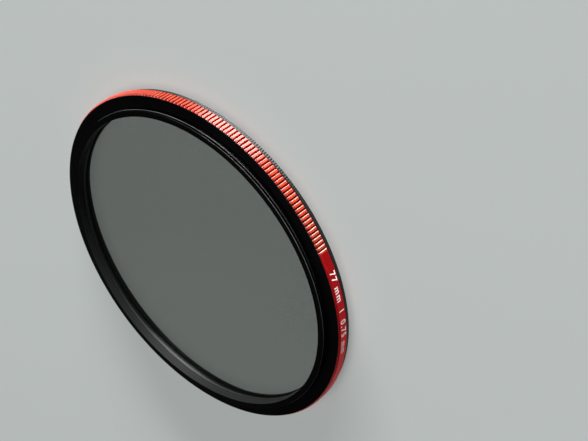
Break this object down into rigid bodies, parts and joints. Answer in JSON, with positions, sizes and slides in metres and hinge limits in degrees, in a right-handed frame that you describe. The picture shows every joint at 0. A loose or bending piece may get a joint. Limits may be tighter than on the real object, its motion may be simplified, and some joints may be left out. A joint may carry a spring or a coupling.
{
  "type": "circular polarizing filter",
  "caption": "Slim round polarizing filter for a camera lens: a threaded mount with a knurled grip band, in which a front ring holding the laminated polarizer turns freely.",
  "frame": {"origin": "centre of the front rim, on the surface that the filter lies on", "axes": "+Z along the optical axis, from the scene side up to the lens side; the plain marking panel lies towards -X"},
  "size_m": [0.0834, 0.0834, 0.0055],
  "materials": {
    "black_anodised": "fine satin black anodising on turned aluminium",
    "red_anodised": "bright red anodising on a cut knurl",
    "grey_anodised": "dark grey satin anodising with a fine knurl",
    "spring_steel": "drawn flat spring wire",
    "coated_glass": "polished optical glass with an anti-reflection coating",
    "polarizing_film": "clear dyed film, neutral grey",
    "retarder_film": "clear film",
    "white_ink": "fired white marking"
  },
  "bodies": {
    "mount": {"mount_ring": "black_anodised", "grip_band": "red_anodised", "snap_ring": "spring_steel"},
    "front": {"front_ring": "grey_anodised", "retaining_ring": "black_anodised", "front_cover_glass": "coated_glass", "polarizing_film": "polarizing_film", "quarter_wave_film": "retarder_film", "rear_cover_glass": "coated_glass"}
  },
  "joints": [
    {"name": "front_ring_turn", "type": "hinge", "parent": "mount", "child": "front", "pos_m": [0, 0, 0.002], "axis": [0, 0, 1], "continuous": true}
  ]
}
